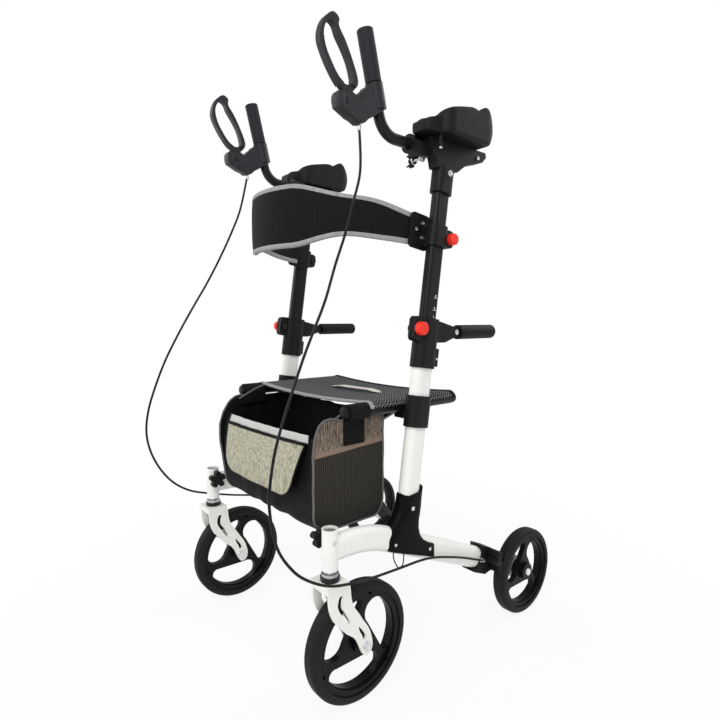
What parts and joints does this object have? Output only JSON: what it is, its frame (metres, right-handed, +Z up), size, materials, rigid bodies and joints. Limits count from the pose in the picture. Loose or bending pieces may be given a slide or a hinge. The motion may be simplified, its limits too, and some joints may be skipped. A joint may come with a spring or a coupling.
{
  "type": "upright walker",
  "caption": "Upright walker on wheels with forearm troughs, loop brake levers, a cloth seat over a bag, a padded back band and a cross brace that folds it sideways.",
  "frame": {"origin": "on the floor under the middle of the part, halfway between the side frames and between front and rear wheels", "axes": "+Z up, front toward -Y, the user's left at +X"},
  "size_m": [0.609, 0.8275, 1.2596],
  "materials": {
    "frame_white": "gloss",
    "tube_black": "satin",
    "plastic_black": "matte",
    "knob_red": "satin",
    "steel": "satin",
    "tyre_black": "matte",
    "grip_black": "matte",
    "cable_black": "satin",
    "pad_black": "matte",
    "seat_cloth": "matte",
    "bag_cloth": "matte",
    "band_cloth": "matte"
  },
  "bodies": {
    "left_frame": {"base_tube_left": "frame_white", "lower_bracket_left": "plastic_black", "wheel_bracket_left": "plastic_black", "outer_post_left": "frame_white", "seat_cradle_left": "plastic_black", "post_clamp_left": "plastic_black", "brake_cable_left": "cable_black"},
    "right_frame": {"base_tube_right": "frame_white", "lower_bracket_right": "plastic_black", "wheel_bracket_right": "plastic_black", "outer_post_right": "frame_white", "seat_cradle_right": "plastic_black", "post_clamp_right": "plastic_black", "brake_cable_right": "cable_black"},
    "brace_left": {"x_brace_left": "tube_black", "cross_pin": "steel"},
    "brace_right": {"x_brace_right": "tube_black"},
    "sling": {"seat_panel": "seat_cloth", "bag": "bag_cloth"},
    "caster_left": {"caster_fork_left": "frame_white", "caster_pins_left": "steel", "caster_collar_left": "plastic_black"},
    "front_wheel_left": {"front_rim_left": "plastic_black", "front_tyre_left": "tyre_black"},
    "rear_wheel_left": {"rear_rim_left": "plastic_black", "rear_tyre_left": "tyre_black"},
    "brake_left": {"brake_arm_left": "plastic_black"},
    "star_left": {"star_knob_left": "plastic_black"},
    "height_screw_left": {"height_knob_left": "knob_red"},
    "push_left": {"push_handle_left": "grip_black"},
    "upper_left": {"inner_post_left": "tube_black", "forearm_bracket_left": "plastic_black", "forearm_pad_left": "pad_black"},
    "back_left": {"backrest_sleeve_left": "plastic_black", "backrest": "band_cloth"},
    "back_screw_left": {"backrest_knob_left": "knob_red"},
    "handle_left": {"handlebar_left": "tube_black", "hand_grip_left": "grip_black", "lever_housing_left": "plastic_black"},
    "lever_left": {"brake_lever_left": "plastic_black"},
    "caster_right": {"caster_fork_right": "frame_white", "caster_pins_right": "steel", "caster_collar_right": "plastic_black"},
    "front_wheel_right": {"front_rim_right": "plastic_black", "front_tyre_right": "tyre_black"},
    "rear_wheel_right": {"rear_rim_right": "plastic_black", "rear_tyre_right": "tyre_black"},
    "brake_right": {"brake_arm_right": "plastic_black"},
    "star_right": {"star_knob_right": "plastic_black"},
    "height_screw_right": {"height_knob_right": "knob_red"},
    "push_right": {"push_handle_right": "grip_black"},
    "upper_right": {"inner_post_right": "tube_black", "forearm_bracket_right": "plastic_black", "forearm_pad_right": "pad_black"},
    "back_right": {"backrest_sleeve_right": "plastic_black"},
    "back_screw_right": {"backrest_knob_right": "knob_red"},
    "handle_right": {"handlebar_right": "tube_black", "hand_grip_right": "grip_black", "lever_housing_right": "plastic_black"},
    "lever_right": {"brake_lever_right": "plastic_black"}
  },
  "joints": [
    {"name": "fold", "type": "hinge", "parent": "left_frame", "child": "brace_left", "pos_m": [0.212, -0.118, 0.305], "axis": [0, 1, 0], "range_deg": [0, 42], "deforming": ["seat_panel", "bag", "backrest"]},
    {"name": "fold_cross", "type": "hinge", "parent": "brace_left", "child": "brace_right", "pos_m": [0, -0.118, 0.42665], "axis": [0, 1, 0], "range_deg": [-84, 0]},
    {"name": "fold_right", "type": "hinge", "parent": "brace_right", "child": "right_frame", "pos_m": [-0.212, -0.118, 0.305], "axis": [0, 1, 0], "range_deg": [0, 42]},
    {"name": "seat_hang", "type": "hinge", "parent": "brace_left", "child": "sling", "pos_m": [-0.208, -0.118, 0.546], "axis": [0, 1, 0], "range_deg": [-42, 0]},
    {"name": "caster_left", "type": "hinge", "parent": "left_frame", "child": "caster_left", "pos_m": [0.247, -0.31, 0.3], "axis": [0, 0, 1], "continuous": true},
    {"name": "front_roll_left", "type": "hinge", "parent": "caster_left", "child": "front_wheel_left", "pos_m": [0.247, -0.246, 0.115], "axis": [1, 0, 0], "continuous": true},
    {"name": "rear_roll_left", "type": "hinge", "parent": "left_frame", "child": "rear_wheel_left", "pos_m": [0.284, 0.258, 0.103], "axis": [1, 0, 0], "continuous": true},
    {"name": "brake_press_left", "type": "hinge", "parent": "left_frame", "child": "brake_left", "pos_m": [0.28, 0.15055, 0.17419], "axis": [1, 0, 0], "range_deg": [0, 3]},
    {"name": "star_turn_left", "type": "hinge", "parent": "left_frame", "child": "star_left", "pos_m": [0.247, -0.31, 0.327], "axis": [1, 0, 0], "continuous": true},
    {"name": "height_turn_left", "type": "hinge", "parent": "left_frame", "child": "height_screw_left", "pos_m": [0.261, -0.09759, 0.70638], "axis": [1, 0, 0], "continuous": true},
    {"name": "push_fold_left", "type": "hinge", "parent": "left_frame", "child": "push_left", "pos_m": [0.252, 0.01822, 0.69676], "axis": [1, 0, 0], "range_deg": [0, 75]},
    {"name": "height_left", "type": "slide", "parent": "left_frame", "child": "upper_left", "axis": [0, 0.1426, 0.9898], "range_m": [-0.1, 0.08], "deforming": ["brake_cable_left"]},
    {"name": "back_height_left", "type": "slide", "parent": "upper_left", "child": "back_left", "axis": [0, 0.1426, 0.9898], "range_m": [-0.04, 0.05]},
    {"name": "back_turn_left", "type": "hinge", "parent": "back_left", "child": "back_screw_left", "pos_m": [0.261, -0.00148, 0.88954], "axis": [1, 0, 0], "continuous": true},
    {"name": "reach_left", "type": "slide", "parent": "upper_left", "child": "handle_left", "axis": [0, 1, 0], "range_m": [-0.05, 0.03], "deforming": ["brake_cable_left"]},
    {"name": "brake_squeeze_left", "type": "hinge", "parent": "handle_left", "child": "lever_left", "pos_m": [0.216, -0.243, 1.117], "axis": [-1, 0, 0], "range_deg": [0, 16], "stiffness_Nm_per_rad": 6, "springref_deg": -5.73},
    {"name": "caster_right", "type": "hinge", "parent": "right_frame", "child": "caster_right", "pos_m": [-0.247, -0.31, 0.3], "axis": [0, 0, 1], "continuous": true},
    {"name": "front_roll_right", "type": "hinge", "parent": "caster_right", "child": "front_wheel_right", "pos_m": [-0.247, -0.246, 0.115], "axis": [1, 0, 0], "continuous": true},
    {"name": "rear_roll_right", "type": "hinge", "parent": "right_frame", "child": "rear_wheel_right", "pos_m": [-0.284, 0.258, 0.103], "axis": [1, 0, 0], "continuous": true},
    {"name": "brake_press_right", "type": "hinge", "parent": "right_frame", "child": "brake_right", "pos_m": [-0.28, 0.15055, 0.17419], "axis": [1, 0, 0], "range_deg": [0, 3]},
    {"name": "star_turn_right", "type": "hinge", "parent": "right_frame", "child": "star_right", "pos_m": [-0.247, -0.31, 0.327], "axis": [1, 0, 0], "continuous": true},
    {"name": "height_turn_right", "type": "hinge", "parent": "right_frame", "child": "height_screw_right", "pos_m": [-0.261, -0.09759, 0.70638], "axis": [1, 0, 0], "continuous": true},
    {"name": "push_fold_right", "type": "hinge", "parent": "right_frame", "child": "push_right", "pos_m": [-0.252, 0.01822, 0.69676], "axis": [1, 0, 0], "range_deg": [0, 75]},
    {"name": "height_right", "type": "slide", "parent": "right_frame", "child": "upper_right", "axis": [0, 0.1426, 0.9898], "range_m": [-0.1, 0.08], "deforming": ["brake_cable_right"]},
    {"name": "back_height_right", "type": "slide", "parent": "upper_right", "child": "back_right", "axis": [0, 0.1426, 0.9898], "range_m": [-0.04, 0.05]},
    {"name": "back_turn_right", "type": "hinge", "parent": "back_right", "child": "back_screw_right", "pos_m": [-0.261, -0.00148, 0.88954], "axis": [1, 0, 0], "continuous": true},
    {"name": "reach_right", "type": "slide", "parent": "upper_right", "child": "handle_right", "axis": [0, 1, 0], "range_m": [-0.05, 0.03], "deforming": ["brake_cable_right"]},
    {"name": "brake_squeeze_right", "type": "hinge", "parent": "handle_right", "child": "lever_right", "pos_m": [-0.216, -0.243, 1.117], "axis": [-1, 0, 0], "range_deg": [0, 16], "stiffness_Nm_per_rad": 6, "springref_deg": -5.73}
  ],
  "couplings": [
    {"joint": "fold_cross", "follows": "fold", "ratio": -2},
    {"joint": "fold_right", "follows": "fold", "ratio": 1},
    {"joint": "seat_hang", "follows": "fold", "ratio": -1},
    {"joint": "brake_press_left", "follows": "brake_squeeze_left", "ratio": 0.1875},
    {"joint": "brake_press_right", "follows": "brake_squeeze_right", "ratio": 0.1875},
    {"joint": "height_right", "follows": "height_left", "ratio": 1},
    {"joint": "back_height_right", "follows": "back_height_left", "ratio": 1}
  ]
}
